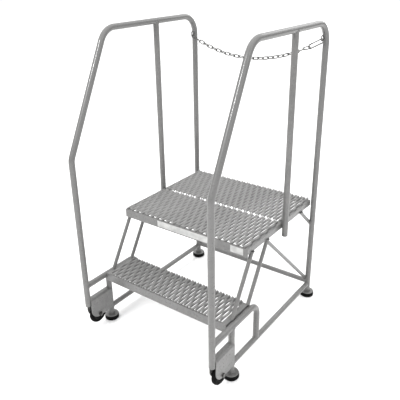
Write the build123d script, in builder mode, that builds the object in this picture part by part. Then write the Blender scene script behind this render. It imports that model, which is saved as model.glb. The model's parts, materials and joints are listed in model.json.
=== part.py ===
"""Rolling warehouse ladder: two steps, a railed platform and a pair of tilt-and-roll wheels.

Millimetres. +Z is up, the climber faces +Y, and the origin lies on the floor at the middle of the
ladder's footprint. The welded frame stands on four rubber feet; the two wheels hang clear of the
floor until the ladder is tipped forward onto them.
"""
import os
from math import asinh, atanh, sinh, sqrt

from build123d import *

os.makedirs("parts", exist_ok=True)

# ---- Overall sizes --------------------------------------------------------------------------
overall_height = 1290.0
rail_spacing = 654.0            # centre to centre of the two handrails, across the ladder
post_span = 808.0               # front posts to rear posts, centre to centre

# ---- Tube stock -----------------------------------------------------------------------------
tube_od = 25.4
tube_wall = 2.0
base_tube_od = 22.2
base_tube_wall = 1.8
brace_od = 15.9
brace_wall = 1.5
saddle_trim = 3.0               # a coped end stops this far short of the other tube's axis

# ---- Handrails ------------------------------------------------------------------------------
front_post_bottom = 138.0
knee_height = 810.0             # where the front post leans back
rail_front_setback = 231.0      # front post to the top rail's front corner
knee_radius = 60.0
rail_front_radius = 80.0
rail_rear_radius = 80.0
mid_post_setback = 533.0
mid_post_bottom = 447.0

# ---- Lower frame ----------------------------------------------------------------------------
front_leg_setback = 130.0
base_rail_height = 62.5
cross_tube_height = 75.0
step_tube_height = 236.5
step_tube_drop_setback = 317.0
step_tube_radius = 50.0

# ---- Treads ---------------------------------------------------------------------------------
step_seat_z = 252.0             # top of the lower step's frame, under its mesh
platform_seat_z = 506.0         # top of the platform's frame, under its mesh
mesh_depth = 12.0               # raised mesh, from its seat to its crests
step_setback = 110.0
step_depth = 160.5
platform_setback = 257.0
platform_rear_gap = 8.0         # platform's rear edge to the rear posts' centre line
platform_seam_setback = 521.0
platform_seam_gap = 9.0
angle_thickness = 3.0
angle_leg = 25.0
angle_flange = 22.0
skirt_depth = 37.0
skirt_flange = 8.0
platform_mesh_margin = 6.0      # mesh's edge to the side angle's outer face
step_mesh_margin = 20.3
mesh_pitch_x = 29.0
mesh_pitch_y = 62.5
mesh_opening_width = 20.0
mesh_opening_length = 46.0
mesh_opening_flat = 16.0
mesh_border = 5.0
label_thickness = 0.6
label_height = 28.0

# ---- Stringers and braces -------------------------------------------------------------------
stringer_run = 0.600            # metres back for each metre up
front_stringer_setback = 154.0  # at the height of the lower step's frame
rear_stringer_setback = 271.0
brace_top_setback = 400.0
brace_foot_height = 90.0
gusset_top_setback = 706.0
gusset_foot_height = 389.0

# ---- Feet -----------------------------------------------------------------------------------
pad_radius = 31.75
pad_height = 20.0
cup_radius = 29.5
cup_thickness = 3.0
collar_height = 8.0
collar_wall = 3.0
foot_screw_radius = 4.0
foot_screw_clearance = 0.3
foot_screw_head_radius = 7.0
foot_screw_head_height = 5.0
pad_counterbore_radius = 9.0
pad_counterbore_depth = 9.0
weld_nut_across_flats = 13.0
weld_nut_height = 6.5
screw_tail = 3.0                # thread showing beyond the weld nut

# ---- Wheels and their brackets --------------------------------------------------------------
wheel_radius = 44.45
tyre_width = 20.0
tyre_section = 14.0
tyre_shoulder = 4.5
axle_setback = 49.0
axle_height = 74.5
axle_radius = 5.0
axle_running_clearance = 0.05
bush_radius = 8.0
bush_length = 22.0
hub_dish = 2.5
hub_rim = 4.0
bracket_thickness = 3.0
bracket_side_clearance = 0.2
bracket_fold_radius = 10.0
bracket_top = 168.0
bracket_bottom = 65.0
bracket_front_setback = 4.5
bracket_nose_radius = 42.0
bracket_heel_radius = 6.0
washer_radius = 9.0
washer_thickness = 1.5
bolt_hole_clearance = 0.2
hex_across_flats = 16.0
hex_head_height = 6.4
hex_nut_height = 8.0
bolt_tail = 3.0

# ---- Guard chain ----------------------------------------------------------------------------
left_eye_height = 1198.0
right_eye_height = 1218.0
eye_inset = 6.0                 # eye's centre inboard of the post's centre line
eye_reach = 13.3                # eye's centre in front of the post's face
eye_ring_radius = 10.0
eye_wire = 4.0
link_wire = 4.2
link_inner_length = 24.7
link_inner_width = 8.6
link_count = 24
link_gap = 0.2                  # slack between two links where they hook together
end_ring_radius = 15.0          # round ring between the last link and the snap
snap_wire = 5.0
snap_inner_length = 62.0
snap_half_width = 8.5           # wire's centre line to the snap's own centre line
snap_hinge_offset = 17.0
snap_nose_length = 15.0
gate_wire = 4.0
gate_end_gap = 0.6
gate_tongue = 1.7
gate_fork = 2.4
fork_depth = 3.0
gate_pin_radius = 1.0
gate_pin_clearance = 0.05
end_ring_turn = 70.0            # turns about the chain, in degrees
snap_turn = -20.0
link_settled_turn = 45.0        # a link's turn in the middle of the chain, in degrees
link_settling = 3               # links at each end that turn towards it
bisection_steps = 80

# ---- Places worked out from the sizes above -------------------------------------------------
rail_x = rail_spacing / 2
rail_z = overall_height - tube_od / 2
front_y = tube_od / 2 - (tube_od / 2 + post_span + pad_radius) / 2
rear_y = front_y + post_span
mid_y = front_y + mid_post_setback
leg_y = front_y + front_leg_setback
inner_face_x = rail_x - tube_od / 2          # where the treads' side angles meet the tubes
brace_x = inner_face_x - angle_thickness / 2
step_front_y = front_y + step_setback
step_rear_y = step_front_y + step_depth
platform_front_y = front_y + platform_setback
platform_rear_y = rear_y - platform_rear_gap
seam_y = front_y + platform_seam_setback
cup_top_z = pad_height + cup_thickness
axle_y = front_y + axle_setback
axle_z = axle_height
SIDES = (("left", -1), ("right", 1))


def finish(piece, name):
    """Label a finished piece and write it to its own file."""
    piece.part.label = name
    export_step(piece.part, f"parts/{name}.step")


def cut_cylinder(point, direction, radius, length):
    """Take a round tube's outline out of the piece being made, centred on a point of its axis."""
    axis = Vector(*direction).normalized()
    with Locations(Plane(origin=point, z_dir=axis).location):
        Cylinder(radius, length, mode=Mode.SUBTRACT)


def cut_box(low, high):
    """Take the box between two corners out of the piece being made."""
    size = Vector(*high) - Vector(*low)
    with Locations((Vector(*low) + Vector(*high)) * 0.5):
        Box(size.X, size.Y, size.Z, mode=Mode.SUBTRACT)


def round_tube(path, od, wall):
    """Sweep a tube's ring section along a path."""
    with BuildSketch(Plane(origin=path @ 0, z_dir=path % 0)) as section:
        Circle(od / 2)
        Circle(od / 2 - wall, mode=Mode.SUBTRACT)
    sweep(section.sketch, path=path)


def round_rod(path, diameter, mode=Mode.ADD):
    """Sweep a solid round bar along a path."""
    with BuildSketch(Plane(origin=path @ 0, z_dir=path % 0)) as section:
        Circle(diameter / 2)
    sweep(section.sketch, path=path, mode=mode)


def straight_tube(start, end, od, wall):
    """A straight tube between two points of its axis."""
    start, end = Vector(*start), Vector(*end)
    axis = end - start
    with BuildSketch(Plane(origin=start, z_dir=axis)) as section:
        Circle(od / 2)
        Circle(od / 2 - wall, mode=Mode.SUBTRACT)
    extrude(section.sketch, amount=axis.length)


def on_side(side, y, z):
    """A point in the plane of one handrail."""
    return (side * rail_x, y, z)


# ---- Handrails: one bent tube from the front post, over the top and down to the rear foot ----
def handrail_path(side):
    """The handrail's centre line, from the front post's open end to the rear foot."""
    with BuildLine() as rail_line:
        FilletPolyline(
            on_side(side, front_y, front_post_bottom),
            on_side(side, front_y, knee_height),
            on_side(side, front_y + rail_front_setback, rail_z),
            on_side(side, rear_y, rail_z),
            on_side(side, rear_y, cup_top_z),
            radius=[knee_radius, rail_front_radius, rail_rear_radius],
        )
    return rail_line.line


for side_name, side in SIDES:
    with BuildPart() as handrail:
        round_tube(handrail_path(side), tube_od, tube_wall)
    finish(handrail, f"{side_name}_handrail")

# ---- Mid posts: saddled to the top rail, open at the bottom, outside the platform ------------
for side_name, side in SIDES:
    with BuildPart() as mid_post:
        straight_tube(
            on_side(side, mid_y, mid_post_bottom),
            on_side(side, mid_y, rail_z - saddle_trim),
            tube_od,
            tube_wall,
        )
        cut_cylinder(on_side(side, mid_y, rail_z), (0, 1, 0), tube_od / 2, 3 * tube_od)
    finish(mid_post, f"{side_name}_mid_post")

# ---- Step tubes: from the front post level to the back, then down onto the base rail ---------
for side_name, side in SIDES:
    with BuildLine() as step_line:
        FilletPolyline(
            on_side(side, front_y + saddle_trim, step_tube_height),
            on_side(side, front_y + step_tube_drop_setback, step_tube_height),
            on_side(side, front_y + step_tube_drop_setback, base_rail_height + saddle_trim),
            radius=step_tube_radius,
        )
    with BuildPart() as step_tube:
        round_tube(step_line.line, tube_od, tube_wall)
        cut_cylinder(on_side(side, front_y, step_tube_height), (0, 0, 1), tube_od / 2, 4 * tube_od)
        cut_cylinder(
            on_side(side, front_y + step_tube_drop_setback, base_rail_height),
            (0, 1, 0),
            base_tube_od / 2,
            4 * tube_od,
        )
    finish(step_tube, f"{side_name}_step_tube")

# ---- Front legs: from the front feet up to the step tubes ------------------------------------
for side_name, side in SIDES:
    with BuildPart() as front_leg:
        straight_tube(
            on_side(side, leg_y, cup_top_z),
            on_side(side, leg_y, step_tube_height - saddle_trim),
            tube_od,
            tube_wall,
        )
        cut_cylinder(on_side(side, leg_y, step_tube_height), (0, 1, 0), tube_od / 2, 3 * tube_od)
    finish(front_leg, f"{side_name}_front_leg")

# ---- Base rails: front leg to rear post, just above the feet ---------------------------------
for side_name, side in SIDES:
    with BuildPart() as base_rail:
        straight_tube(
            on_side(side, leg_y, base_rail_height),
            on_side(side, rear_y, base_rail_height),
            base_tube_od,
            base_tube_wall,
        )
        for post_y in (leg_y, rear_y):
            cut_cylinder(on_side(side, post_y, base_rail_height), (0, 0, 1), tube_od / 2, 3 * tube_od)
    finish(base_rail, f"{side_name}_base_rail")

# ---- Rear cross tube: ties the two rear posts together near the floor ------------------------
with BuildPart() as rear_cross_tube:
    straight_tube(
        (-rail_x, rear_y, cross_tube_height),
        (rail_x, rear_y, cross_tube_height),
        base_tube_od,
        base_tube_wall,
    )
    for side_name, side in SIDES:
        cut_cylinder(on_side(side, rear_y, cross_tube_height), (0, 0, 1), tube_od / 2, 3 * tube_od)
        cut_cylinder(on_side(side, rear_y, base_rail_height), (0, 1, 0), base_tube_od / 2, 3 * tube_od)
finish(rear_cross_tube, "rear_cross_tube")


# ---- Tread frames ----------------------------------------------------------------------------
def side_angle(name, side, y_front, y_rear, seat_z):
    """An angle along a tread's side: one leg hangs down against the tubes, one carries the mesh."""
    outer_x = side * inner_face_x
    with BuildPart() as angle:
        with BuildSketch(Plane.XZ.offset(-y_front)) as section:
            with BuildLine():
                Polyline(
                    (outer_x, seat_z),
                    (outer_x, seat_z - angle_leg),
                    (outer_x - side * angle_thickness, seat_z - angle_leg),
                    (outer_x - side * angle_thickness, seat_z - angle_thickness),
                    (outer_x - side * angle_flange, seat_z - angle_thickness),
                    (outer_x - side * angle_flange, seat_z),
                    close=True,
                )
            make_face()
        extrude(section.sketch, amount=-(y_rear - y_front))
        outer_edges = angle.part.edges().filter_by(Axis.Y).filter_by_position(Axis.Z, seat_z, seat_z)
        fillet(outer_edges.sort_by(Axis.X)[-1 if side > 0 else 0], angle_thickness / 2)
    finish(angle, name)


def cross_angle(name, y_face, inward, depth, seat_z):
    """An angle across a tread's front or rear edge, with a narrow flange under the mesh."""
    flange_half = inner_face_x - angle_flange
    with BuildPart() as angle:
        with BuildSketch(Plane.XZ.offset(-y_face)) as leg:
            with Locations((0, seat_z - depth / 2)):
                Rectangle(2 * inner_face_x, depth)
        extrude(leg.sketch, amount=-inward * angle_thickness)
        with BuildSketch(Plane.XY.offset(seat_z)) as flange:
            with Locations((0, y_face + inward * skirt_flange / 2)):
                Rectangle(2 * flange_half, skirt_flange)
        extrude(flange.sketch, amount=-angle_thickness)
        nose = angle.part.edges().filter_by(Axis.X).filter_by_position(Axis.Z, seat_z, seat_z)
        fillet(nose.sort_by(Axis.Y)[0 if inward > 0 else -1], angle_thickness / 2)
    finish(angle, name)


def mesh_tread(name, y_front, y_rear, seat_z, side_margin):
    """A raised steel mesh panel: staggered long openings, with their long way front to back."""
    half_width = inner_face_x - side_margin
    depth = y_rear - y_front
    middle_y = (y_front + y_rear) / 2
    columns = int((2 * half_width - 2 * mesh_border - mesh_opening_width) / mesh_pitch_x) + 1
    rows = int((depth - 2 * mesh_border - mesh_opening_length) / mesh_pitch_y) + 1
    with BuildPart() as tread:
        with BuildSketch(Plane.XY.offset(seat_z)) as sheet:
            with Locations((0, middle_y)):
                Rectangle(2 * half_width, depth)
            for offset in (0, 1):
                with Locations((0, middle_y)):
                    with GridLocations(mesh_pitch_x, mesh_pitch_y, columns - offset, rows - offset):
                        mesh_opening()
        extrude(sheet.sketch, amount=mesh_depth)
    finish(tread, name)


def mesh_opening():
    """One long six-sided opening of the mesh."""
    half_width = mesh_opening_width / 2
    half_length = mesh_opening_length / 2
    half_flat = mesh_opening_flat / 2
    Polygon(
        (0, half_length),
        (half_width, half_flat),
        (half_width, -half_flat),
        (0, -half_length),
        (-half_width, -half_flat),
        (-half_width, half_flat),
        align=None,
        mode=Mode.SUBTRACT,
    )


for side_name, side in SIDES:
    side_angle(
        f"{side_name}_step_side_angle",
        side,
        step_front_y + angle_thickness,
        step_rear_y - angle_thickness,
        step_seat_z,
    )
    side_angle(
        f"{side_name}_platform_side_angle",
        side,
        platform_front_y + angle_thickness,
        platform_rear_y - angle_thickness,
        platform_seat_z,
    )
cross_angle("step_front_skirt", step_front_y, 1, skirt_depth, step_seat_z)
cross_angle("step_rear_angle", step_rear_y, -1, angle_leg, step_seat_z)
cross_angle("platform_front_skirt", platform_front_y, 1, skirt_depth, platform_seat_z)
cross_angle("platform_rear_angle", platform_rear_y, -1, angle_leg, platform_seat_z)
mesh_tread("step_tread", step_front_y, step_rear_y, step_seat_z, step_mesh_margin)
mesh_tread(
    "platform_front_tread",
    platform_front_y,
    seam_y - platform_seam_gap / 2,
    platform_seat_z,
    platform_mesh_margin,
)
mesh_tread(
    "platform_rear_tread",
    seam_y + platform_seam_gap / 2,
    platform_rear_y,
    platform_seat_z,
    platform_mesh_margin,
)

# ---- Blank label plates on the platform's front skirt ----------------------------------------
label_z = platform_seat_z - skirt_depth / 2
with BuildPart() as blank_labels:
    for label_x, label_width in ((0.0, 262.0), (265.0, 58.0)):
        with BuildSketch(Plane.XZ.offset(-platform_front_y)) as plate:
            with Locations((label_x, label_z)):
                RectangleRounded(label_width, label_height, 2.0)
        extrude(plate.sketch, amount=label_thickness)
finish(blank_labels, "blank_label_plates")


# ---- Stringers: thin sloping tubes from the step tubes to the platform's side angles ---------
def stringer_axis(side, setback):
    """A point on a stringer's axis at the lower step's seat, and its upward direction."""
    point = Vector(side * brace_x, front_y + setback, step_seat_z)
    return point, Vector(0, stringer_run, 1).normalized()


platform_underside_z = platform_seat_z - angle_leg
stringer_length = 2 * (platform_underside_z - step_seat_z)
for side_name, side in SIDES:
    for place, setback in (("front", front_stringer_setback), ("rear", rear_stringer_setback)):
        foot, climb = stringer_axis(side, setback)
        foot_z = step_seat_z if place == "front" else step_tube_height + saddle_trim
        with BuildPart() as stringer:
            straight_tube(
                foot - climb * (stringer_length / 4),
                foot + climb * (3 * stringer_length / 4),
                brace_od,
                brace_wall,
            )
            cut_box((-rail_spacing, front_y, 0), (rail_spacing, rear_y, foot_z))
            cut_box(
                (-rail_spacing, front_y, platform_underside_z),
                (rail_spacing, rear_y, overall_height),
            )
            if place == "rear":
                cut_cylinder(on_side(side, foot.Y, step_tube_height), (0, 1, 0), tube_od / 2, 8 * tube_od)
                cut_box(
                    (-rail_spacing, front_y, 0),
                    (rail_spacing, step_rear_y, step_seat_z),
                )
        finish(stringer, f"{side_name}_{place}_stringer")


# ---- Diagonal and gusset braces: platform's side angle down to the rear post -----------------
def rear_brace(name, side, top_setback, foot_height):
    """A sloping tube, cut level under the side angle and coped against the rear post."""
    top = Vector(side * brace_x, front_y + top_setback, platform_underside_z)
    foot = Vector(side * brace_x, rear_y, foot_height)
    overrun = (foot - top).normalized() * (2 * brace_od)
    stringer_foot, climb = stringer_axis(side, rear_stringer_setback)
    with BuildPart() as brace:
        straight_tube(top - overrun, foot + overrun, brace_od, brace_wall)
        cut_box(
            (-rail_spacing, front_y, platform_underside_z),
            (rail_spacing, rear_y + 4 * tube_od, overall_height),
        )
        cut_box(
            (-rail_spacing, rear_y, 0),
            (rail_spacing, rear_y + 4 * tube_od, overall_height),
        )
        cut_cylinder(on_side(side, rear_y, foot_height), (0, 0, 1), tube_od / 2, 12 * tube_od)
        cut_cylinder(stringer_foot, climb, brace_od / 2, 4 * stringer_length)
        stringer_top = stringer_foot + climb * (platform_underside_z - step_seat_z) / climb.Z
        cut_box(
            (-rail_spacing, front_y, platform_underside_z - brace_od),
            (rail_spacing, stringer_top.Y, overall_height),
        )
        cut_cylinder((0, rear_y, cross_tube_height), (1, 0, 0), base_tube_od / 2, rail_spacing)
    finish(brace, name)


for side_name, side in SIDES:
    rear_brace(f"{side_name}_diagonal_brace", side, brace_top_setback, brace_foot_height)
    rear_brace(f"{side_name}_gusset_brace", side, gusset_top_setback, gusset_foot_height)

# ---- Feet: a steel cup on each leg's end, a rubber pad under it, and the screw that holds it --
feet = [
    (f"{place}_{side_name}", side * rail_x, foot_y)
    for place, foot_y in (("front", leg_y), ("rear", rear_y))
    for side_name, side in SIDES
]
for foot_name, foot_x, foot_y in feet:
    with BuildPart() as pad:
        with BuildSketch() as outline:
            with Locations((foot_x, foot_y)):
                Circle(pad_radius)
                Circle(foot_screw_radius + foot_screw_clearance, mode=Mode.SUBTRACT)
        extrude(outline.sketch, amount=pad_height)
        outer = pad.part.edges().filter_by(GeomType.CIRCLE)
        fillet(outer.filter_by(lambda edge: edge.radius > cup_radius), angle_thickness)
        with BuildSketch() as counterbore:
            with Locations((foot_x, foot_y)):
                Circle(pad_counterbore_radius)
        extrude(counterbore.sketch, amount=pad_counterbore_depth, mode=Mode.SUBTRACT)
    finish(pad, f"{foot_name}_foot_pad")

    with BuildPart() as cup:
        with BuildSketch(Plane.XY.offset(pad_height)) as disc:
            with Locations((foot_x, foot_y)):
                Circle(cup_radius)
        extrude(disc.sketch, amount=cup_thickness)
        rim = cup.part.edges().sort_by(Axis.Z)[-1]
        fillet(rim, cup_thickness / 2)
        with BuildSketch(Plane.XY.offset(cup_top_z)) as collar:
            with Locations((foot_x, foot_y)):
                Circle(tube_od / 2 + collar_wall)
                Circle(tube_od / 2, mode=Mode.SUBTRACT)
        extrude(collar.sketch, amount=collar_height)
        cut_cylinder(
            (foot_x, foot_y, pad_height),
            (0, 0, 1),
            foot_screw_radius + foot_screw_clearance,
            4 * cup_thickness,
        )
    finish(cup, f"{foot_name}_foot_cup")

screw_head_z = pad_counterbore_depth - foot_screw_head_height
with BuildPart() as foot_screws:
    for foot_name, foot_x, foot_y in feet:
        with BuildSketch(Plane.XY.offset(screw_head_z)) as head:
            with Locations((foot_x, foot_y)):
                Circle(foot_screw_head_radius)
        extrude(head.sketch, amount=foot_screw_head_height)
        with BuildSketch(Plane.XY.offset(pad_counterbore_depth)) as shank:
            with Locations((foot_x, foot_y)):
                Circle(foot_screw_radius)
        extrude(shank.sketch, amount=cup_top_z + weld_nut_height + screw_tail - pad_counterbore_depth)
finish(foot_screws, "foot_screws")

with BuildPart() as foot_weld_nuts:
    for foot_name, foot_x, foot_y in feet:
        with BuildSketch(Plane.XY.offset(cup_top_z)) as nut:
            with Locations((foot_x, foot_y)):
                RegularPolygon(weld_nut_across_flats / 2, 6, major_radius=False)
                Circle(foot_screw_radius, mode=Mode.SUBTRACT)
        extrude(nut.sketch, amount=weld_nut_height)
finish(foot_weld_nuts, "foot_weld_nuts")

# ---- Wheel brackets: folded channels over each wheel, from the front post to the front leg ---
bracket_gap_half = tube_od / 2 + bracket_side_clearance
bracket_outer_half = bracket_gap_half + bracket_thickness
bracket_front_y = front_y + bracket_front_setback
bracket_drop = bracket_top - bracket_bottom
for side_name, side in SIDES:
    with BuildPart() as bracket:
        with BuildSketch(Plane.XZ.offset(-bracket_front_y)) as channel:
            with Locations((side * rail_x, bracket_bottom)):
                RectangleRounded(2 * bracket_outer_half, 2 * bracket_drop, bracket_fold_radius)
            with Locations((side * rail_x, bracket_bottom - bracket_thickness)):
                RectangleRounded(
                    2 * bracket_gap_half,
                    2 * bracket_drop,
                    bracket_fold_radius - bracket_thickness,
                    mode=Mode.SUBTRACT,
                )
        extrude(channel.sketch, amount=-(leg_y - bracket_front_y))
        with BuildSketch(Plane.YZ.offset(side * rail_x - 2 * bracket_outer_half)) as profile:
            with Locations(((bracket_front_y + leg_y) / 2, (bracket_top + bracket_bottom) / 2)):
                Rectangle(leg_y - bracket_front_y, bracket_top - bracket_bottom)
            low = profile.vertices().group_by(Axis.Y)[0].sort_by(Axis.X)
            fillet(low[0], bracket_nose_radius)
            low = profile.vertices().group_by(Axis.Y)[0].sort_by(Axis.X)
            fillet(low[-1], bracket_heel_radius)
        extrude(profile.sketch, amount=4 * bracket_outer_half, mode=Mode.INTERSECT)
        cut_cylinder(on_side(side, front_y, bracket_top), (0, 0, 1), tube_od / 2, 12 * tube_od)
        cut_cylinder(on_side(side, leg_y, bracket_top), (0, 0, 1), tube_od / 2, 12 * tube_od)
        cut_cylinder(
            on_side(side, axle_y, axle_z),
            (1, 0, 0),
            axle_radius + bolt_hole_clearance,
            4 * bracket_outer_half,
        )
    finish(bracket, f"{side_name}_wheel_bracket")

# ---- Wheels: rubber tyre, hub and bush, each turned about the axle bolt ----------------------
for side_name, side in SIDES:
    wheel_middle = Plane(origin=on_side(side, axle_y, axle_z), x_dir=(0, 1, 0), z_dir=(1, 0, 0))
    hub_radius = wheel_radius - tyre_section
    with BuildPart() as tyre:
        with BuildSketch(wheel_middle) as ring:
            Circle(wheel_radius)
            Circle(hub_radius, mode=Mode.SUBTRACT)
        extrude(ring.sketch, amount=tyre_width / 2, both=True)
        shoulders = tyre.part.edges().filter_by(GeomType.CIRCLE)
        fillet(shoulders.filter_by(lambda edge: edge.radius > hub_radius + 1), tyre_shoulder)
    finish(tyre, f"{side_name}_tyre")

    with BuildPart() as hub:
        with BuildSketch(wheel_middle) as disc:
            Circle(hub_radius)
            Circle(bush_radius, mode=Mode.SUBTRACT)
        extrude(disc.sketch, amount=tyre_width / 2, both=True)
        for facing in (-1, 1):
            with BuildSketch(wheel_middle.offset(facing * (tyre_width / 2 - hub_dish))) as dish:
                Circle(hub_radius - hub_rim)
                Circle(bush_radius + hub_rim, mode=Mode.SUBTRACT)
            extrude(dish.sketch, amount=facing * 2 * hub_dish, mode=Mode.SUBTRACT)
    finish(hub, f"{side_name}_wheel_hub")

    with BuildPart() as bush:
        with BuildSketch(wheel_middle) as sleeve:
            Circle(bush_radius)
            Circle(axle_radius + axle_running_clearance, mode=Mode.SUBTRACT)
        extrude(sleeve.sketch, amount=bush_length / 2, both=True)
    finish(bush, f"{side_name}_wheel_bush")

# ---- Axle bolts, nuts and washers, the heads on the ladder's outer sides ---------------------
with BuildPart() as axle_bolts:
    for side_name, side in SIDES:
        outward = Plane(origin=on_side(side, axle_y, axle_z), x_dir=(0, 1, 0), z_dir=(side, 0, 0))
        shank_length = 2 * bracket_outer_half + hex_nut_height + bolt_tail
        with BuildSketch(outward.offset(bracket_outer_half)) as shank:
            Circle(axle_radius)
        extrude(shank.sketch, amount=-shank_length)
        with BuildSketch(outward.offset(bracket_outer_half)) as head:
            RegularPolygon(hex_across_flats / 2, 6, major_radius=False)
        extrude(head.sketch, amount=hex_head_height)
finish(axle_bolts, "axle_bolts")

with BuildPart() as axle_nuts:
    for side_name, side in SIDES:
        inward = Plane(origin=on_side(side, axle_y, axle_z), x_dir=(0, 1, 0), z_dir=(-side, 0, 0))
        with BuildSketch(inward.offset(bracket_outer_half)) as nut:
            RegularPolygon(hex_across_flats / 2, 6, major_radius=False)
            Circle(axle_radius, mode=Mode.SUBTRACT)
        extrude(nut.sketch, amount=hex_nut_height)
finish(axle_nuts, "axle_nuts")

with BuildPart() as axle_washers:
    for side_name, side in SIDES:
        for facing in (-1, 1):
            face = Plane(origin=on_side(side, axle_y, axle_z), x_dir=(0, 1, 0), z_dir=(facing, 0, 0))
            with BuildSketch(face.offset(bracket_gap_half - washer_thickness)) as washer:
                Circle(washer_radius)
                Circle(axle_radius + bolt_hole_clearance, mode=Mode.SUBTRACT)
            extrude(washer.sketch, amount=washer_thickness)
finish(axle_washers, "axle_washers")

# ---- Guard chain -----------------------------------------------------------------------------
# The two eyes' centres fix the axis that the chain swings about. The chain hooks on the lower
# side of each eye's ring and hangs in a catenary between them.
eye_standoff = tube_od / 2 + eye_reach
eye_y = rear_y - eye_standoff
left_eye = Vector(-(rail_x - eye_inset), eye_y, left_eye_height)
right_eye = Vector(rail_x - eye_inset, eye_y, right_eye_height)
swing_axis = (right_eye - left_eye).normalized()
axis_down = Vector(swing_axis.Z, 0, -swing_axis.X)
chain_start = left_eye + axis_down * eye_ring_radius
chain_end = right_eye + axis_down * eye_ring_radius
link_step = link_inner_length - link_gap

for side_name, eye, side in (("left", left_eye, -1), ("right", right_eye, 1)):
    with BuildPart() as chain_eye:
        ring_plane = Plane(origin=eye, x_dir=(0, 1, 0), z_dir=swing_axis)
        with Locations(ring_plane.location):
            Torus(eye_ring_radius, eye_wire / 2)
        with BuildSketch(Plane(origin=eye + (0, eye_ring_radius, 0), z_dir=(0, 1, 0))) as shank:
            Circle(eye_wire / 2)
        extrude(shank.sketch, amount=eye_standoff - eye_ring_radius)
        round_rod(handrail_path(side), tube_od, Mode.SUBTRACT)
    finish(chain_eye, f"{side_name}_chain_eye")


def catenary_scale(span, rise, length):
    """The scale of the catenary of a given length between two points, by bisection."""
    wanted = sqrt(length**2 - rise**2)
    low, high = span / 20, span * 20
    for halving in range(bisection_steps):
        middle = (low + high) / 2
        if 2 * middle * sinh(span / (2 * middle)) > wanted:
            low = middle
        else:
            high = middle
    return middle


slack = link_gap / 2
links_start = -eye_wire / 2 - slack
links_end = links_start + link_count * link_step
end_ring_centre = links_end - slack + end_ring_radius - link_wire / 2
snap_start = end_ring_centre + end_ring_radius - link_wire / 2 - link_gap
chain_length = snap_start + snap_inner_length - eye_wire / 2 - link_gap
chain_span = chain_end.X - chain_start.X
chain_rise = chain_end.Z - chain_start.Z
hang = catenary_scale(chain_span, chain_rise, chain_length)
lowest_x = (chain_start.X + chain_end.X) / 2 - hang * atanh(chain_rise / chain_length)
arc_before_lowest = hang * sinh((lowest_x - chain_start.X) / hang)


def chain_point(distance):
    """The point of the hanging chain at a distance along it from the left eye's wire."""
    offset = hang * asinh((distance - arc_before_lowest) / hang)
    lowest_to_start = sqrt(hang**2 + arc_before_lowest**2) - hang
    drop = sqrt(hang**2 + (distance - arc_before_lowest) ** 2) - hang
    return Vector(lowest_x + offset, eye_y, chain_start.Z - lowest_to_start + drop)


def link_turn(index):
    """A hanging link's turn about the chain: square to its neighbours, settling at 45 degrees."""
    from_end = min(index, link_count - 1 - index)
    settled = link_settled_turn * min(1, from_end / link_settling)
    return 90 - settled if index % 2 else -settled


def chain_plane(start, end, turn):
    """A plane with its X along the chain between two distances, turned about the chain."""
    first = chain_point(start)
    last = chain_point(end)
    along = (last - first).normalized()
    facing = Vector(0, -1, 0).rotate(Axis((0, 0, 0), along), turn)
    return Plane(origin=(first + last) * 0.5, x_dir=along, z_dir=facing)


bow_radius = (link_inner_width + link_wire) / 2
link_half = (link_inner_length + link_wire) / 2
straight_half = link_half - bow_radius
with BuildPart() as chain_links:
    for index in range(link_count):
        start = links_start + index * link_step
        flat = chain_plane(start, start + link_step, link_turn(index))
        with BuildLine(flat) as loop:
            upper = Line((-straight_half, bow_radius), (straight_half, bow_radius))
            lower = Line((straight_half, -bow_radius), (-straight_half, -bow_radius))
            ThreePointArc(upper @ 1, (link_half, 0), lower @ 0)
            ThreePointArc(lower @ 1, (-link_half, 0), upper @ 0)
        round_rod(loop.line, link_wire)
    ring_plane = chain_plane(
        end_ring_centre - end_ring_radius, end_ring_centre + end_ring_radius, end_ring_turn
    )
    with Locations(Plane(origin=ring_plane.origin, z_dir=ring_plane.z_dir).location):
        Torus(end_ring_radius, link_wire / 2)
finish(chain_links, "chain_links")

# ---- Snap: a wire hook with a sprung gate, closed over the right eye -------------------------
snap_plane = chain_plane(snap_start, snap_start + snap_inner_length, snap_turn)
snap_half = (snap_inner_length + snap_wire) / 2
hinge_x = snap_hinge_offset - snap_half
nose_x = snap_half - snap_nose_length
hinge_axis = Plane(
    origin=snap_plane.from_local_coords((hinge_x, snap_half_width, 0)), z_dir=snap_plane.z_dir
)


def snap_block(low, high, mode):
    """A block between two corners given in the snap's own plane."""
    size = Vector(*high) - Vector(*low)
    middle = snap_plane.from_local_coords((Vector(*low) + Vector(*high)) * 0.5)
    with Locations(Plane(middle, x_dir=snap_plane.x_dir, z_dir=snap_plane.z_dir).location):
        Box(size.X, size.Y, size.Z, mode=mode)


with BuildPart() as snap_hook:
    with BuildLine(snap_plane) as hook_line:
        FilletPolyline(
            (hinge_x + snap_wire / 2, snap_half_width),
            (-snap_half, snap_half_width),
            (-snap_half, -snap_half_width),
            (snap_half, -snap_half_width),
            (snap_half, snap_half_width),
            (nose_x, snap_half_width),
            radius=snap_half_width * 0.9,
        )
    round_rod(hook_line.line, snap_wire)
    snap_block(
        (hinge_x - fork_depth, snap_half_width - snap_wire, -gate_fork / 2),
        (hinge_x + snap_wire, snap_half_width + snap_wire, gate_fork / 2),
        Mode.SUBTRACT,
    )
    with Locations(hinge_axis.location):
        Cylinder(gate_pin_radius, 2 * snap_wire, mode=Mode.SUBTRACT)
finish(snap_hook, "snap_hook")

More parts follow.
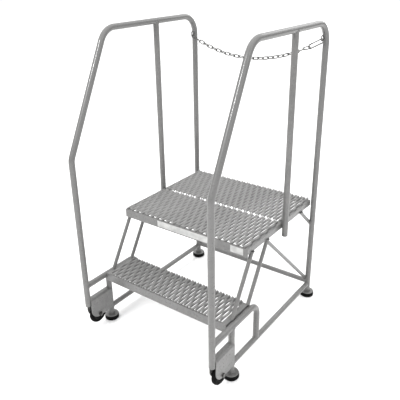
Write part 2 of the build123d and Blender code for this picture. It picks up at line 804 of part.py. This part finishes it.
with BuildPart() as snap_gate:
    gate_start = hinge_x + snap_wire / 2 + gate_end_gap
    gate_end = nose_x - gate_end_gap
    with BuildLine(snap_plane) as gate_line:
        Line((gate_start, snap_half_width), (gate_end, snap_half_width))
    round_rod(gate_line.line, gate_wire)
    snap_block(
        (hinge_x, snap_half_width - gate_wire / 2, -gate_tongue / 2),
        (gate_start + gate_wire / 2, snap_half_width + gate_wire / 2, gate_tongue / 2),
        Mode.ADD,
    )
    with Locations(hinge_axis.location):
        Cylinder(gate_wire / 2, gate_tongue)
        Cylinder(gate_pin_radius + gate_pin_clearance, 2 * snap_wire, mode=Mode.SUBTRACT)
finish(snap_gate, "snap_gate")

with BuildPart() as snap_gate_pin:
    with Locations(hinge_axis.location):
        Cylinder(gate_pin_radius, snap_wire)
finish(snap_gate_pin, "snap_gate_pin")
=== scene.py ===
"""Looks of the rolling warehouse ladder: raised mesh treads, welds, paint, rubber and zinc plate.

Metres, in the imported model's own frame: +Z up, +Y the way the climber faces.
"""
import json
import math
import random

import bpy
from mathutils import Matrix, Vector


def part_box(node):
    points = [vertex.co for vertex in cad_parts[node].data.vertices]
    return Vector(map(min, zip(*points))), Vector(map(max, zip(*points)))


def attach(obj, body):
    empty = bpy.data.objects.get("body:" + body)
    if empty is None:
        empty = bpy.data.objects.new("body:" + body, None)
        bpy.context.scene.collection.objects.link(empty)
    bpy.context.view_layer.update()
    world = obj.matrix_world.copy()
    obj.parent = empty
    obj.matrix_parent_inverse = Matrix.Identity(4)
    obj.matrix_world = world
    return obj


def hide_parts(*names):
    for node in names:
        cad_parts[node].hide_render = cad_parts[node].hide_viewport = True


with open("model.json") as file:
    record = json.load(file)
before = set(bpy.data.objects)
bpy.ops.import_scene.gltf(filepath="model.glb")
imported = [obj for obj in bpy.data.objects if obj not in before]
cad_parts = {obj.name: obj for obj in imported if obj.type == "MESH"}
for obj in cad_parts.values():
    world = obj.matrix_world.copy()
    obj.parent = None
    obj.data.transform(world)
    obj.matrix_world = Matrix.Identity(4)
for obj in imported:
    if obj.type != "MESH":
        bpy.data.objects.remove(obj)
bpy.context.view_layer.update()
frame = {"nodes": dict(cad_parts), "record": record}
random.seed(7)

MM = 0.001
SIDES = (("left", -1), ("right", 1))

# ---- Camera ---------------------------------------------------------------------------------
CAMERA_PLACE = Vector((1.18987, -1.63917, 1.50138))
CAMERA_AZIMUTH = math.radians(36.79)
CAMERA_ELEVATION = math.radians(23.04)
CAMERA_ROLL = math.radians(-1.04)
CAMERA_LENS = 47.07
CAMERA_SHIFT = (0.0077, -0.0372)


def make_camera():
    """A camera at the ladder's front right, a little above the platform."""
    az, el = CAMERA_AZIMUTH, CAMERA_ELEVATION
    right = Vector((math.cos(az), math.sin(az), 0))
    back = Vector((math.sin(az) * math.cos(el), -math.cos(az) * math.cos(el), math.sin(el)))
    up = back.cross(right)
    rolled_right = math.cos(CAMERA_ROLL) * right + math.sin(CAMERA_ROLL) * up
    rolled_up = back.cross(rolled_right)
    turn = Matrix((rolled_right, rolled_up, back)).transposed().to_4x4()
    camera = bpy.data.objects.new("camera", bpy.data.cameras.new("camera"))
    bpy.context.scene.collection.objects.link(camera)
    camera.matrix_world = Matrix.Translation(CAMERA_PLACE) @ turn
    camera.data.lens = CAMERA_LENS
    camera.data.sensor_width = 36
    camera.data.shift_x, camera.data.shift_y = CAMERA_SHIFT
    camera.data.clip_start = 0.01
    camera.data.dof.use_dof = False
    bpy.context.scene.camera = camera


# ---- Materials ------------------------------------------------------------------------------
class Nodes:
    """A short way to build a procedural material."""

    def __init__(self, name):
        self.material = bpy.data.materials.new(name)
        self.material.use_nodes = True
        self.tree = self.material.node_tree
        self.shader = self.tree.nodes["Principled BSDF"]
        self.place = self.add("ShaderNodeTexCoord").outputs["Object"]

    def add(self, kind, **values):
        """Add a node and set its properties."""
        node = self.tree.nodes.new(kind)
        for key, value in values.items():
            setattr(node, key, value)
        return node

    def link(self, source, target):
        self.tree.links.new(source, target)

    def noise(self, scale, detail=4.0, rough=0.55, stretch=None):
        """A noise texture in the frame's own metres."""
        node = self.add("ShaderNodeTexNoise")
        node.inputs["Scale"].default_value = scale
        node.inputs["Detail"].default_value = detail
        node.inputs["Roughness"].default_value = rough
        if stretch:
            mapping = self.add("ShaderNodeMapping")
            mapping.inputs["Scale"].default_value = stretch
            self.link(self.place, mapping.inputs["Vector"])
            self.link(mapping.outputs["Vector"], node.inputs["Vector"])
        else:
            self.link(self.place, node.inputs["Vector"])
        return node.outputs["Fac"]

    def spread(self, value, low, high, out_low=0.0, out_high=1.0):
        """Map a value's range onto another, clamped."""
        node = self.add("ShaderNodeMapRange")
        node.inputs["From Min"].default_value = low
        node.inputs["From Max"].default_value = high
        node.inputs["To Min"].default_value = out_low
        node.inputs["To Max"].default_value = out_high
        self.link(value, node.inputs["Value"])
        return node.outputs["Result"]

    def math(self, operation, first, second):
        node = self.add("ShaderNodeMath", operation=operation)
        for socket, value in zip(node.inputs, (first, second)):
            if isinstance(value, (int, float)):
                socket.default_value = value
            else:
                self.link(value, socket)
        return node.outputs["Value"]

    def mix(self, amount, first, second):
        """Mix two colours, each an RGB tuple or a socket."""
        node = self.add("ShaderNodeMix", data_type="RGBA")
        self.link(amount, node.inputs["Factor"])
        for socket, value in ((node.inputs[6], first), (node.inputs[7], second)):
            if isinstance(value, tuple):
                socket.default_value = (*value, 1)
            else:
                self.link(value, socket)
        return node.outputs[2]

    def edge_wear(self, low, high):
        """How sharply the surface bends outward, where paint wears first."""
        geometry = self.add("ShaderNodeNewGeometry")
        return self.spread(geometry.outputs["Pointiness"], low, high)

    def bump(self, height, strength, distance):
        node = self.add("ShaderNodeBump")
        node.inputs["Strength"].default_value = strength
        node.inputs["Distance"].default_value = distance
        self.link(height, node.inputs["Height"])
        self.link(node.outputs["Normal"], self.shader.inputs["Normal"])

    def colour(self, value):
        self.link(value, self.shader.inputs["Base Color"])

    def roughness(self, value):
        self.link(value, self.shader.inputs["Roughness"])


PAINT_TINT = (1.0, 0.993, 0.978)  # a slightly warm grey
WORN_PAINT = (0.27, 0.265, 0.255)
# Near-black painted shade for the low parts of the tread mesh, standing in for the shade in its
# slits.
PAINTED_SLIT_SHADE = (0.035, 0.034, 0.032)
ZINC_GRIME = (0.16, 0.155, 0.145)
RUBBER_DUST = (0.06, 0.059, 0.056)
LABEL_SCUFF = (0.25, 0.25, 0.245)
ORANGE_PEEL = 0.6 * MM
GRAIN = 0.3 * MM
RUBBER_GRAIN = 0.4 * MM
LABEL_GRAIN = 0.2 * MM


def painted_steel(name, tone, wear, dust, paint_slit_shade=False):
    """Grey enamel: faint orange peel, cloudy tone, rubbed edges and a little dust, and on request
    painted shade that darkens the low parts of a raised mesh.
    """
    n = Nodes(name)
    base = tuple(tone * c for c in PAINT_TINT)
    darker = tuple(0.93 * c for c in base)
    lighter = tuple(min(1.0, 1.06 * c) for c in base)
    cloudy = n.mix(n.spread(n.noise(6.0, 3.0), 0.35, 0.65), darker, lighter)
    streaks = n.spread(n.noise(9.0, 4.0, 0.6, (6.0, 6.0, 0.7)), 0.45, 0.75, 0.0, dust)
    dusty = n.mix(streaks, cloudy, tuple(min(1.0, 1.25 * c) for c in base))
    # Painted shade: the lower a point sits in the mesh, the nearer its colour goes to near black,
    # standing in for the shade between the strands.
    if paint_slit_shade:
        height = n.add("ShaderNodeAttribute", attribute_name="height").outputs["Fac"]
        slit_shade_amount = n.spread(height, 0.12, 0.62, 0.86, 0.0)
        dusty = n.mix(slit_shade_amount, dusty, PAINTED_SLIT_SHADE)
    worn = n.math("MULTIPLY", n.edge_wear(0.53, 0.6), n.spread(n.noise(60.0, 6.0), 0.42, 0.62))
    worn = n.math("MULTIPLY", worn, wear)
    n.colour(n.mix(worn, dusty, WORN_PAINT))
    specks = n.spread(n.noise(170.0, 3.0), 0.35, 0.7, 0.26, 0.42)
    n.roughness(n.math("ADD", specks, n.math("MULTIPLY", streaks, 0.3)))
    n.link(n.math("MULTIPLY", worn, 0.7), n.shader.inputs["Metallic"])
    n.shader.inputs["Coat Weight"].default_value = 0.35
    n.shader.inputs["Coat Roughness"].default_value = 0.1
    peel = n.math("ADD", n.noise(420.0, 2.0, 0.5), n.math("MULTIPLY", n.noise(90.0, 2.0), 0.6))
    n.bump(peel, 0.07, ORANGE_PEEL)
    return n.material


def zinc(name, tone, roughness):
    """Bright zinc plate: mottled grey metal with a fine grain."""
    n = Nodes(name)
    mottle = n.spread(n.noise(260.0, 5.0), 0.3, 0.7)
    dark = tuple(tone * c for c in (0.62, 0.62, 0.6))
    bright = tuple(tone * c for c in (1.0, 0.99, 0.96))
    grimy = n.spread(n.noise(70.0, 4.0), 0.55, 0.75, 0.0, 0.5)
    n.colour(n.mix(grimy, n.mix(mottle, dark, bright), ZINC_GRIME))
    n.shader.inputs["Metallic"].default_value = 0.92
    n.roughness(n.spread(n.noise(340.0, 4.0), 0.3, 0.7, roughness - 0.08, roughness + 0.12))
    n.bump(n.noise(900.0, 3.0), 0.12, GRAIN)
    return n.material


def rubber(name, tone, dust):
    """Moulded black rubber or plastic: fine grain, scuffed and dusty on its edges."""
    n = Nodes(name)
    base = (tone, tone, tone * 1.02)
    scuff = n.math("MULTIPLY", n.edge_wear(0.5, 0.62), n.spread(n.noise(120.0, 5.0), 0.4, 0.7))
    film = n.spread(n.noise(35.0, 5.0), 0.45, 0.8, 0.0, dust)
    n.colour(n.mix(n.math("ADD", n.math("MULTIPLY", scuff, 0.12), film), base, RUBBER_DUST))
    n.roughness(n.spread(n.noise(200.0, 4.0), 0.3, 0.7, 0.42, 0.66))
    n.shader.inputs["Specular IOR Level"].default_value = 0.05
    n.bump(n.math("ADD", n.noise(1100.0, 3.0), n.noise(240.0, 2.0)), 0.22, RUBBER_GRAIN)
    return n.material


def label_film(name):
    """A blank pale plate: satin film with scuffs and a slightly uneven tone."""
    n = Nodes(name)
    tone = n.mix(n.spread(n.noise(40.0, 5.0), 0.35, 0.7), (0.36, 0.36, 0.355), (0.52, 0.52, 0.51))
    scuffs = n.spread(n.noise(210.0, 6.0, 0.7, (0.5, 1.0, 3.0)), 0.55, 0.72, 0.0, 0.4)
    n.colour(n.mix(scuffs, tone, LABEL_SCUFF))
    n.roughness(n.spread(n.noise(150.0, 3.0), 0.3, 0.7, 0.3, 0.5))
    n.bump(n.noise(500.0, 3.0), 0.08, LABEL_GRAIN)
    return n.material


MATERIALS = {
    "frame_paint": painted_steel("frame_paint", 0.125, 0.16, 0.04),
    # The treads' paint darkens the mesh's low parts with painted shade.
    "mesh_paint": painted_steel("mesh_paint", 0.185, 0.4, 0.06, paint_slit_shade=True),
    "label_film": label_film("label_film"),
    "pad_rubber": rubber("pad_rubber", 0.003, 0.02),
    "tyre_rubber": rubber("tyre_rubber", 0.003, 0.02),
    "wheel_plastic": rubber("wheel_plastic", 0.01, 0.03),
    "bush_steel": zinc("bush_steel", 0.35, 0.34),
    "zinc_plate": zinc("zinc_plate", 0.15, 0.2),
}


def paint_frame():
    """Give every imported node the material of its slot."""
    slots = {row["node"]: row["material_slot"] for row in frame["record"]["subparts"]}
    for node, obj in frame["nodes"].items():
        obj.data.materials.clear()
        obj.data.materials.append(MATERIALS[slots[node]])


# ---- Making pieces --------------------------------------------------------------------------
def add_piece(name, verts, faces, slot, body, smooth=True):
    """A mesh object that rides on a body and takes its finish from a slot."""
    mesh = bpy.data.meshes.new(name)
    mesh.from_pydata([tuple(v) for v in verts], [], faces)
    mesh.update()
    mesh.materials.append(MATERIALS[slot])
    for face in mesh.polygons:
        face.use_smooth = smooth
    obj = bpy.data.objects.new(name, mesh)
    bpy.context.scene.collection.objects.link(obj)
    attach(obj, body)
    return obj


def loft(rings, closed=False):
    """Vertices and faces of a skin over rings of points, capped unless it closes on itself."""
    count = len(rings[0])
    verts = [point for ring in rings for point in ring]
    faces = []
    last = len(rings) if closed else len(rings) - 1
    for i in range(last):
        j = (i + 1) % len(rings)
        for k in range(count):
            m = (k + 1) % count
            faces.append((i * count + k, i * count + m, j * count + m, j * count + k))
    if not closed:
        faces.append(tuple(reversed(range(count))))
        faces.append(tuple((len(rings) - 1) * count + k for k in range(count)))
    return verts, faces


def joined(parts):
    """Several (vertices, faces) pairs as one."""
    verts, faces = [], []
    for more_verts, more_faces in parts:
        start = len(verts)
        verts += more_verts
        faces += [tuple(start + i for i in face) for face in more_faces]
    return verts, faces


# ---- Raised mesh treads ---------------------------------------------------------------------
MESH_PITCH_X = 14.5 * MM         # strand to strand
MESH_PITCH_Y = 62.5 * MM         # crest to crest along a strand
STRAND_WIDTH = 9.8 * MM
STRAND_THICKNESS = 1.5 * MM
BOND_LEAN = math.radians(32)     # a strand's lean where it joins its neighbour
LEG_LEAN = math.radians(46)      # and halfway between two bonds
BOND_FLAT = 1.22                 # how far each bond flattens the zigzag
STEPS_PER_WAVE = 18


def strand_wave(y):
    """A strand's swing from side to side, -1 to 1, with a short flat at each bond."""
    turns = y / MESH_PITCH_Y
    triangle = 4 * abs(turns - math.floor(turns + 0.5)) - 1
    return math.sin(max(-1.0, min(1.0, triangle * BOND_FLAT)) * math.pi / 2)


def strand_section(width, thickness):
    """A strand's rounded rectangular section, as (across, up) pairs."""
    corner = 0.28 * thickness
    half_width, half_thick = width / 2, thickness / 2
    points = []
    for sx, sz in ((1, 1), (-1, 1), (-1, -1), (1, -1)):
        side = (sx * half_width, sz * (half_thick - corner))
        cap = (sx * (half_width - corner), sz * half_thick)
        points += [side, cap] if sx * sz > 0 else [cap, side]
    return points


def raised_mesh(node):
    """Raised expanded metal over a tread's box: strands that zigzag, lean and meet at bonds."""
    low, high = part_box(node)
    swing = (MESH_PITCH_X - STRAND_WIDTH * math.cos(BOND_LEAN)) / 2
    rise = STRAND_WIDTH * math.sin(BOND_LEAN) / 2
    middle_z = (low.z + high.z) / 2
    edge = swing + STRAND_WIDTH * math.cos(BOND_LEAN) / 2
    count = round((high.x - low.x - 2 * edge) / MESH_PITCH_X)
    pitch = (high.x - low.x - 2 * edge) / count
    steps = max(2, round((high.y - low.y) / MESH_PITCH_Y * STEPS_PER_WAVE))
    strands = []
    for index in range(count + 1):
        sign = 1 if index % 2 else -1
        rings = []
        for step in range(steps + 1):
            y = low.y + (high.y - low.y) * step / steps
            wave = sign * strand_wave(y)
            lean = LEG_LEAN + (BOND_LEAN - LEG_LEAN) * wave**2
            x = low.x + edge + index * pitch + swing * wave
            z = middle_z + rise * wave
            ring = []
            for across, up in strand_section(STRAND_WIDTH, STRAND_THICKNESS):
                place_x = x + across * math.cos(lean) + up * math.sin(lean)
                place_z = z - across * math.sin(lean) + up * math.cos(lean)
                ring.append(Vector((place_x, y, place_z)))
            rings.append(ring)
        strands.append(loft(rings))
    verts, faces = joined(strands)
    tread = add_piece(f"{node}_mesh", verts, faces, "mesh_paint", "frame")
    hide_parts(node)
    # The height within the tread box, 0 at the bottom and 1 at the top, drives the painted shade in
    # the mesh's low parts.
    height = tread.data.attributes.new("height", "FLOAT", "POINT")
    for vertex, value in zip(tread.data.vertices, height.data):
        value.value = (vertex.co.z - low.z) / (high.z - low.z)


# ---- Weld beads -----------------------------------------------------------------------------
BEAD_RADIUS = 2.3 * MM
BEAD_RIPPLE = 0.35 * MM          # how much a bead swells at each ripple
RIPPLE_LENGTH = 4.0 * MM
BEAD_SIDES = 8
BEAD_STEP = 1.3 * MM             # along a bead, from one ring of points to the next
RING_POINTS = 72
BEAD_UNEVENNESS = 0.08 * MM
BEAD_END_TAPER = 0.5
NEAR_UPRIGHT = 0.95


def bead(points, closed=True):
    """A rippled bead of weld along a line of points."""
    if closed:
        points = points + points[:1]
    spans = [(b - a).length for a, b in zip(points, points[1:])]
    length = sum(spans)
    count = max(4, round(length / BEAD_STEP))
    stations, span, passed = [], 0, 0.0
    for step in range(count if closed else count + 1):
        wanted = length * step / count
        while span < len(spans) - 1 and passed + spans[span] < wanted:
            passed += spans[span]
            span += 1
        share = (wanted - passed) / spans[span]
        stations.append(points[span].lerp(points[span + 1], min(1.0, share)))
    ripples = max(2, round(length / RIPPLE_LENGTH))
    rings = []
    for step, place in enumerate(stations):
        after = stations[(step + 1) % len(stations)] if closed or step + 1 < len(stations) else place
        before = stations[step - 1] if closed or step else place
        along = (after - before).normalized()
        side = along.orthogonal() if abs(along.z) > NEAR_UPRIGHT else along.cross(Vector((0, 0, 1)))
        side.normalize()
        other = along.cross(side)
        swell = BEAD_RIPPLE * abs(math.sin(math.pi * ripples * step / count))
        radius = BEAD_RADIUS - BEAD_RIPPLE + swell + random.uniform(-1, 1) * BEAD_UNEVENNESS
        if not closed and step in (0, len(stations) - 1):
            radius *= BEAD_END_TAPER
        ring = []
        for k in range(BEAD_SIDES):
            turn = 2 * math.pi * k / BEAD_SIDES
            ring.append(place + radius * (math.cos(turn) * side + math.sin(turn) * other))
        rings.append(ring)
    return loft(rings, closed)


def coped_seam(start, along, radius, other, other_along, other_radius):
    """Where a tube running from a start point meets the surface of another tube."""
    along, other_along = along.normalized(), other_along.normalized()
    side = along.orthogonal().normalized()
    up = along.cross(side)
    points = []
    for k in range(RING_POINTS):
        turn = 2 * math.pi * k / RING_POINTS
        place = start + radius * (math.cos(turn) * side + math.sin(turn) * up)
        gap = place - other
        gap = gap - gap.dot(other_along) * other_along
        run = along - along.dot(other_along) * other_along
        a, b, c = run.dot(run), gap.dot(run), gap.dot(gap) - other_radius**2
        inside = b * b - a * c
        if inside > 0:
            points.append(place + along * ((-b - math.sqrt(inside)) / a))
    return points


def level_seam(centre, radius_x, radius_y):
    """An ellipse in a level plane: the end of a sloping tube under a flat face."""
    points = []
    for k in range(RING_POINTS):
        turn = 2 * math.pi * k / RING_POINTS
        points.append(centre + Vector((radius_x * math.cos(turn), radius_y * math.sin(turn), 0)))
    return points


def middle(node):
    """The centre of a node's box, and half its size."""
    low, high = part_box(node)
    return (low + high) / 2, (high - low) / 2


UP, BACK, ACROSS = Vector((0, 0, 1)), Vector((0, 1, 0)), Vector((1, 0, 0))


def frame_welds(side_name, side):
    """The weld beads of one side of the frame."""
    rail_low, rail_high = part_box(f"{side_name}_handrail")
    mid_post, mid_half = middle(f"{side_name}_mid_post")
    leg = middle(f"{side_name}_front_leg")[0]
    base, base_half = middle(f"{side_name}_base_rail")
    cross, cross_half = middle("rear_cross_tube")
    step_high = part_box(f"{side_name}_step_tube")[1]
    tube, base_tube = mid_half.x, base_half.z
    rail_x = mid_post.x
    front = Vector((rail_x, rail_low.y + tube, 0))
    rear = Vector((rail_x, rail_high.y - tube, 0))
    top_rail = Vector((rail_x, 0, rail_high.z - tube))
    step_tube = Vector((rail_x, step_high.y - tube, step_high.z - tube))
    drop = Vector((rail_x, step_tube.y, 0))
    seams = [
        coped_seam(mid_post, UP, tube, top_rail, BACK, tube),
        coped_seam(Vector((rail_x, leg.y, step_tube.z)), -BACK, tube, front, UP, tube),
        coped_seam(drop + UP * step_tube.z, -UP, tube, base, BACK, base_tube),
        coped_seam(leg, UP, tube, step_tube, BACK, tube),
        coped_seam(base, -BACK, base_tube, Vector((rail_x, leg.y, 0)), UP, tube),
        coped_seam(base, BACK, base_tube, rear, UP, tube),
        coped_seam(cross, side * ACROSS, cross_half.z, rear, UP, tube),
    ]
    for foot in (f"front_{side_name}_foot_cup", f"rear_{side_name}_foot_cup"):
        cup, cup_half = middle(foot)
        seams.append(level_seam(cup + UP * cup_half.z, tube, tube))
    beads = [bead(seam) for seam in seams]
    for node, slopes_back in (("front_stringer", 1), ("rear_stringer", 1), ("gusset_brace", -1)):
        low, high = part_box(f"{side_name}_{node}")
        brace = (high.x - low.x) / 2
        run = (high.y - low.y) / (high.z - low.z)
        stretch = brace * math.sqrt(1 + run**2)
        top_y = high.y - stretch if slopes_back > 0 else low.y + stretch
        beads.append(bead(level_seam(Vector(((low.x + high.x) / 2, top_y, high.z)), brace, stretch)))
    beads += tread_welds(side_name, side, mid_post.y, rear.y, step_tube.z)
    verts, faces = joined(beads)
    add_piece(f"{side_name}_weld_beads", verts, faces, "frame_paint", "frame")


CREVICE_REACH = 4.5 * MM         # from the line of contact to the bead
CREVICE_DEPTH = 0.4 * MM
STEP_BEAD_LENGTH = 24 * MM
STEP_BEAD_STARTS = (0.08, 0.42, 0.76)   # shares of the side angle's length


def tread_welds(side_name, side, mid_y, rear_y, step_tube_z):
    """Short beads where the treads' side angles touch the tubes beside them."""
    beads = []
    low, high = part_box(f"{side_name}_platform_side_angle")
    face_x = low.x if side < 0 else high.x
    crevice = face_x + side * CREVICE_DEPTH
    for post_y in (mid_y, rear_y):
        for turn in (-1, 1):
            y = post_y + turn * CREVICE_REACH
            if low.y < y < high.y:
                ends = [Vector((crevice, y, low.z + 2 * MM)), Vector((crevice, y, high.z - 3 * MM))]
                beads.append(bead(ends, closed=False))
    low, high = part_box(f"{side_name}_step_side_angle")
    for stretch in STEP_BEAD_STARTS:
        start = low.y + stretch * (high.y - low.y)
        z = step_tube_z + CREVICE_REACH
        ends = [Vector((crevice, start, z)), Vector((crevice, start + STEP_BEAD_LENGTH, z))]
        beads.append(bead(ends, closed=False))
    return beads


# ---- Turned pieces: tyres, hubs and foot pads ------------------------------------------------
TURN_STEPS = 96


def turned(profile, centre, axis_x, axis_y, axis):
    """A closed profile of (radius, along) pairs, turned about an axis."""
    rings = []
    for step in range(TURN_STEPS):
        turn = 2 * math.pi * step / TURN_STEPS
        outward = math.cos(turn) * axis_x + math.sin(turn) * axis_y
        rings.append([centre + radius * outward + along * axis for radius, along in profile])
    return loft(rings, closed=True)


def rounded(corners, radius, steps=4):
    """A closed outline with its corners rounded."""
    outline = []
    for index, corner in enumerate(corners):
        corner = Vector(corner)
        before, after = Vector(corners[index - 1]), Vector(corners[(index + 1) % len(corners)])
        reach = min(radius, (before - corner).length / 2.2, (after - corner).length / 2.2)
        start = corner + (before - corner).normalized() * reach
        end = corner + (after - corner).normalized() * reach
        for step in range(steps + 1):
            share = step / steps
            outline.append(tuple(start.lerp(corner, share).lerp(corner.lerp(end, share), share)))
    return outline


def foot_pad(node):
    """A moulded rubber pad: two grooves round its side, a chamfered sole and a recessed middle."""
    centre, half = middle(node)
    radius, height = half.x, half.z
    groove, bore = 1.1 * MM, 4.3 * MM
    profile = [
        (bore, height),
        (radius - 2.2 * MM, height),
        (radius - 0.4 * MM, height - 2.2 * MM),
        (radius - 0.2 * MM, 0.38 * height),
        (radius - groove, 0.30 * height),
        (radius - 0.1 * MM, 0.22 * height),
        (radius, -0.05 * height),
        (radius - groove, -0.13 * height),
        (radius, -0.21 * height),
        (radius, -0.72 * height),
        (radius - 2.6 * MM, -height),
        (radius - 7.0 * MM, -height),
        (radius - 8.4 * MM, -height + 1.4 * MM),
        (radius - 11.4 * MM, -height + 1.4 * MM),
        (radius - 12.8 * MM, -height),
        (9.0 * MM, -height),
        (9.0 * MM, -height + 9.0 * MM),
        (bore, -height + 9.0 * MM),
    ]
    verts, faces = turned(rounded(profile, 0.9 * MM), centre, ACROSS, BACK, UP)
    pad = add_piece(f"{node}_moulded", verts, faces, "pad_rubber", "frame")
    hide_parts(node)


def wheel(side_name):
    """A tyre with a crowned tread and side rings, on a hub with a stepped, dished face."""
    body = f"{side_name}_wheel"
    centre, half = middle(f"{side_name}_tyre")
    width, radius = half.x, half.z
    rim = middle(f"{side_name}_wheel_hub")[1].z
    bore = middle(f"{side_name}_wheel_bush")[1].z
    half_tyre = [
        (rim, width),
        (rim + 2.6 * MM, width),
        (rim + 3.4 * MM, width - 0.9 * MM),
        (rim + 4.6 * MM, width - 0.9 * MM),
        (rim + 5.4 * MM, width),
        (radius - 4.8 * MM, width - 0.2 * MM),
        (radius - 1.5 * MM, width - 2.6 * MM),
        (radius - 0.3 * MM, width - 5.4 * MM),
        (radius, 0.7 * MM),
    ]
    mirrored = [(r, -x) for r, x in reversed(half_tyre)]
    verts, faces = turned(rounded(half_tyre + mirrored, 1.2 * MM), centre, BACK, UP, ACROSS)
    tyre = add_piece(f"{side_name}_tyre_moulded", verts, faces, "tyre_rubber", body)
    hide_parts(f"{side_name}_tyre")
    half_hub = [
        (bore, width),
        (bore + 3.6 * MM, width),
        (bore + 4.4 * MM, width - 2.4 * MM),
        (bore + 8.0 * MM, width - 3.2 * MM),
        (rim - 5.0 * MM, width - 2.6 * MM),
        (rim - 3.8 * MM, width - 0.6 * MM),
        (rim - 0.6 * MM, width - 0.2 * MM),
        (rim, width - 0.8 * MM),
    ]
    mirrored = [(r, -x) for r, x in reversed(half_hub)]
    verts, faces = turned(rounded(half_hub + mirrored, 0.8 * MM), centre, BACK, UP, ACROSS)
    hub = add_piece(f"{side_name}_hub_moulded", verts, faces, "wheel_plastic", body)
    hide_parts(f"{side_name}_wheel_hub")


# ---- Stage ----------------------------------------------------------------------------------
DOME_AT_HORIZON = 0.3            # the soft light's strength level with the floor
DOME_OVERHEAD = 2.1
BACKDROP_STRENGTH = 1.03         # what shows behind the ladder
FLOOR_REACH = 14.0
FLOOR_TONE = 0.94
LIGHT_TARGET = Vector((0, 0, 0.6))
LIGHTS = (
    # name, place, watts, size
    ("key", (-0.7, -3.0, 3.1), 60, 0.5),
    ("fill", (2.8, -0.6, 2.0), 14, 2.0),
    ("rim", (0.4, 3.2, 2.6), 18, 2.0),
)


def make_stage():
    """A plain pale floor, soft lights and a white surround."""
    mesh = bpy.data.meshes.new("floor")
    corners = [(x * FLOOR_REACH, y * FLOOR_REACH, 0) for x, y in ((-1, -1), (1, -1), (1, 1), (-1, 1))]
    mesh.from_pydata(corners, [], [(0, 1, 2, 3)])
    floor = bpy.data.objects.new("floor", mesh)
    bpy.context.scene.collection.objects.link(floor)
    material = bpy.data.materials.new("floor")
    material.use_nodes = True
    shader = material.node_tree.nodes["Principled BSDF"]
    shader.inputs["Base Color"].default_value = (FLOOR_TONE, FLOOR_TONE, FLOOR_TONE, 1)
    shader.inputs["Roughness"].default_value = 0.9
    shader.inputs["Specular IOR Level"].default_value = 0.1
    mesh.materials.append(material)

    world = bpy.data.worlds.new("surround")
    world.use_nodes = True
    nodes, links = world.node_tree.nodes, world.node_tree.links
    background = nodes["Background"]
    background.inputs["Color"].default_value = (1, 1, 1, 1)
    direction = nodes.new("ShaderNodeTexCoord")
    split = nodes.new("ShaderNodeSeparateXYZ")
    dome = nodes.new("ShaderNodeMapRange")
    dome.inputs["From Min"].default_value = 0.0
    dome.inputs["From Max"].default_value = 0.9
    dome.inputs["To Min"].default_value = DOME_AT_HORIZON
    dome.inputs["To Max"].default_value = DOME_OVERHEAD
    seen = nodes.new("ShaderNodeLightPath")
    strength = nodes.new("ShaderNodeMix")
    strength.inputs["B"].default_value = BACKDROP_STRENGTH
    links.new(direction.outputs["Generated"], split.inputs["Vector"])
    links.new(split.outputs["Z"], dome.inputs["Value"])
    links.new(dome.outputs["Result"], strength.inputs["A"])
    links.new(seen.outputs["Is Camera Ray"], strength.inputs["Factor"])
    links.new(strength.outputs["Result"], background.inputs["Strength"])
    bpy.context.scene.world = world

    for name, place, energy, size in LIGHTS:
        light = bpy.data.lights.new(name, "AREA")
        light.energy = energy
        light.size = size
        lamp = bpy.data.objects.new(name, light)
        bpy.context.scene.collection.objects.link(lamp)
        lamp.location = place
        lamp.rotation_euler = (LIGHT_TARGET - Vector(place)).to_track_quat("-Z", "Y").to_euler()
    settings = bpy.context.scene.view_settings
    settings.view_transform = "Standard"
    settings.look = "None"


make_camera()
paint_frame()
for tread_node in ("step_tread", "platform_front_tread", "platform_rear_tread"):
    raised_mesh(tread_node)
for side_name, side in SIDES:
    frame_welds(side_name, side)
    wheel(side_name)
    for place in ("front", "rear"):
        foot_pad(f"{place}_{side_name}_foot_pad")
make_stage()
